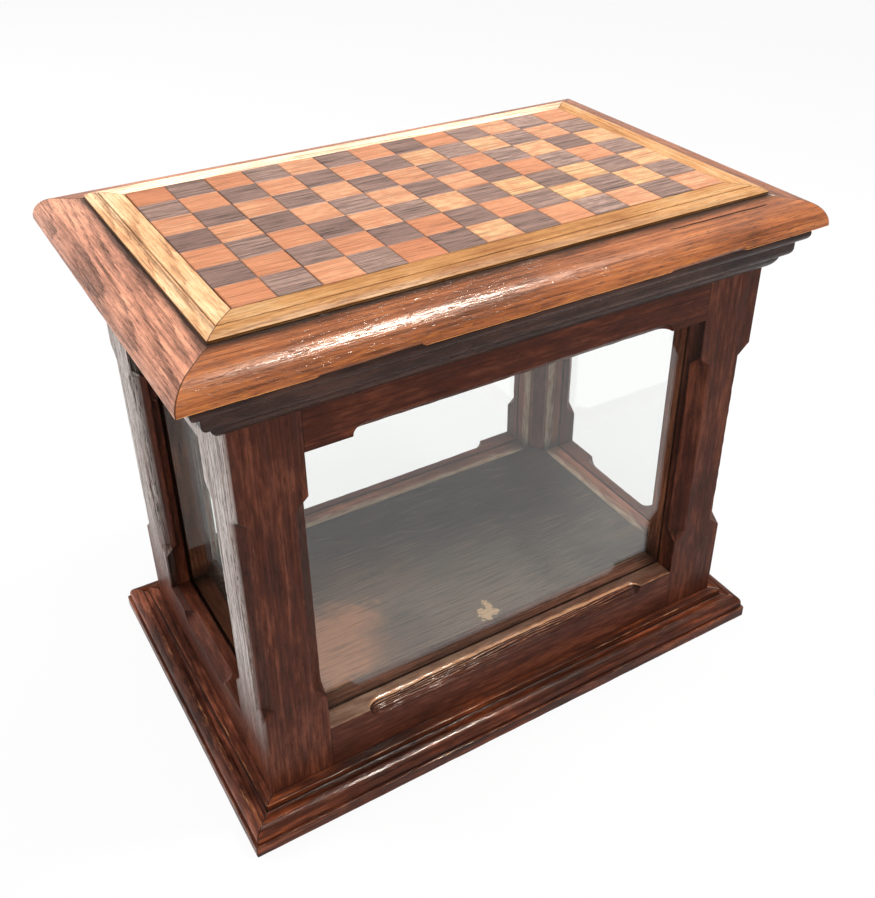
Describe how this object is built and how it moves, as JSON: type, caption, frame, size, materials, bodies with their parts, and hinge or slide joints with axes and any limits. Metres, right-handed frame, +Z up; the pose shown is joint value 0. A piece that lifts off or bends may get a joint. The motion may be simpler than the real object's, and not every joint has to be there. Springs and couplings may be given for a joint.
{
  "type": "display cabinet",
  "caption": "Glazed table-top display cabinet in oak, with a moulded base and cornice and a hinged lid inlaid with a chequered field of parquetry.",
  "frame": {"origin": "centre of the rectangle that the base stands on, at the underside of the base mouldings", "axes": "+X along the length, towards the right seen from the front; -Y towards the front, away from the hinges; +Z up"},
  "size_m": [0.4264, 0.274, 0.3572],
  "materials": {
    "case_oak": "dark fumed oak, waxed, satin",
    "cornice_oak": "dark fumed oak, waxed, satin",
    "base_oak": "brown oak, waxed, worn to orange on its arrises, satin",
    "lid_oak": "mid-brown oak, polished, glossy",
    "border_oak": "pale golden oak, worn, satin",
    "light_square_wood": "pinkish tan hardwood, worn, satin",
    "dark_square_wood": "grey-brown hardwood, worn, satin",
    "floor_wood": "grey-brown board, dull",
    "bead_oak": "brown oak beads, dull",
    "plain_board": "plain softwood, unfinished",
    "window_glass": "clear sheet glass, glossy",
    "hinge_brass": "aged brass, satin",
    "steel_screws": "plain steel, dull"
  },
  "bodies": {
    "case": {"base_board": "plain_board", "base_moulding_back": "base_oak", "base_moulding_front": "base_oak", "base_moulding_left": "base_oak", "base_moulding_right": "base_oak", "base_screws": "steel_screws", "bottom_rail_back": "case_oak", "bottom_rail_front": "case_oak", "bottom_rail_left": "case_oak", "bottom_rail_right": "case_oak", "cornice_back": "cornice_oak", "cornice_front": "cornice_oak", "cornice_left": "cornice_oak", "cornice_right": "cornice_oak", "floor_battens": "plain_board", "floor_board": "floor_wood", "glass_back": "window_glass", "glass_front": "window_glass", "glass_left": "window_glass", "glass_right": "window_glass", "glazing_beads_back": "bead_oak", "glazing_beads_front": "bead_oak", "glazing_beads_left": "bead_oak", "glazing_beads_right": "bead_oak", "hinge_case_leaf_left": "hinge_brass", "hinge_case_leaf_right": "hinge_brass", "hinge_pin_left": "hinge_brass", "hinge_pin_right": "hinge_brass", "hinge_screws_case": "hinge_brass", "post_back_left": "case_oak", "post_back_right": "case_oak", "post_front_left": "case_oak", "post_front_right": "case_oak", "top_rail_back": "case_oak", "top_rail_front": "case_oak", "top_rail_left": "case_oak", "top_rail_right": "case_oak"},
    "lid": {"border_back": "border_oak", "border_front": "border_oak", "border_left": "border_oak", "border_right": "border_oak", "hinge_lid_leaf_left": "hinge_brass", "hinge_lid_leaf_right": "hinge_brass", "hinge_screws_lid": "hinge_brass", "lid_ground_board": "plain_board", "lid_moulding_back": "lid_oak", "lid_moulding_front": "lid_oak", "lid_moulding_left": "lid_oak", "lid_moulding_right": "lid_oak", "parquetry_dark": "dark_square_wood", "parquetry_light": "light_square_wood"}
  },
  "joints": [
    {"name": "lid_hinge", "type": "hinge", "parent": "case", "child": "lid", "pos_m": [0, 0.1325, 0.33405], "axis": [-1, 0, 0], "range_deg": [0, 95]}
  ]
}
